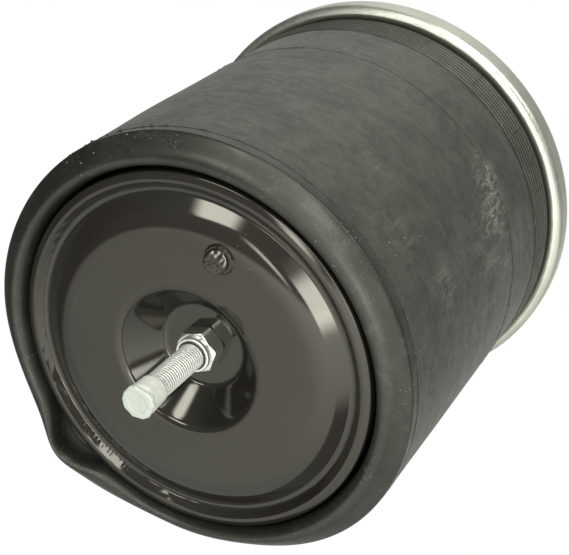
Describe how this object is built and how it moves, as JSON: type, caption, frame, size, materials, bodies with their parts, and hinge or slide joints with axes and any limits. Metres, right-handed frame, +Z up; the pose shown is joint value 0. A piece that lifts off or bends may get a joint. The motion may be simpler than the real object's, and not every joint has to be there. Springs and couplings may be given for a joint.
{
  "type": "air suspension spring",
  "caption": "Rolling-lobe air spring: rubber bellows crimped to a plated bead plate and folded over a black steel piston with centre stud, lock nut, capped end and locating pin.",
  "frame": {"origin": "centre of the bead plate's flat mounting face, where the spring bolts up against the vehicle's frame", "axes": "+Z up along the spring's axis, out of the mounting face; +X from the axis towards the locating pin and the air inlet"},
  "size_m": [0.2866, 0.2866, 0.3751],
  "materials": {
    "zinc_plate": "satin zinc plate",
    "zinc_fastener": "bright zinc plate",
    "bead_wire": "bronze-coated wire",
    "bellows_rubber": "dull, slightly dusty",
    "black_enamel": "gloss",
    "plain_steel": "oiled",
    "nylon": "matt",
    "seal_rubber": "smooth",
    "stop_rubber": "dull",
    "cap_plastic": "milky, half clear"
  },
  "bodies": {
    "top_plate": {"bead_plate": "zinc_plate", "plate_studs": "zinc_fastener", "air_inlet": "zinc_fastener", "upper_bead_wire": "bead_wire", "bellows_neck": "bellows_rubber"},
    "sleeve": {"bellows_shoulder": "bellows_rubber", "bellows_sleeve": "bellows_rubber"},
    "fold": {"bellows_fold": "bellows_rubber"},
    "piston": {"bellows_inner_wall": "bellows_rubber", "lower_bead_wire": "bead_wire", "piston_skirt": "black_enamel", "piston_base": "black_enamel", "support_tube": "plain_steel", "centre_stud": "zinc_fastener", "lock_nut": "zinc_fastener", "lock_nut_insert": "nylon", "locating_pin": "black_enamel", "clamp_plate": "zinc_plate", "seal_ring": "seal_rubber", "top_nut": "zinc_fastener", "bump_stop_plate": "plain_steel", "bump_stop": "stop_rubber"},
    "cap": {"stud_cap": "cap_plastic"}
  },
  "joints": [
    {"name": "bellows_swing", "type": "hinge", "parent": "top_plate", "child": "sleeve", "pos_m": [0, 0, -0.082], "axis": [0, 1, 0], "range_deg": [-5, 5], "stiffness_Nm_per_rad": 300, "deforming": ["bellows_shoulder"]},
    {"name": "fold_roll", "type": "slide", "parent": "sleeve", "child": "fold", "axis": [0, 0, -1], "range_m": [-0.038, 0.09], "deforming": ["bellows_sleeve"]},
    {"name": "piston_stroke", "type": "slide", "parent": "fold", "child": "piston", "axis": [0, 0, -1], "range_m": [-0.038, 0.09], "stiffness_N_per_m": 120000, "deforming": ["bellows_inner_wall"]},
    {"name": "cap_pull", "type": "slide", "parent": "piston", "child": "cap", "axis": [0, 0, -1], "range_m": [0, 0.06]}
  ],
  "couplings": [
    {"joint": "fold_roll", "follows": "piston_stroke", "ratio": 1}
  ]
}
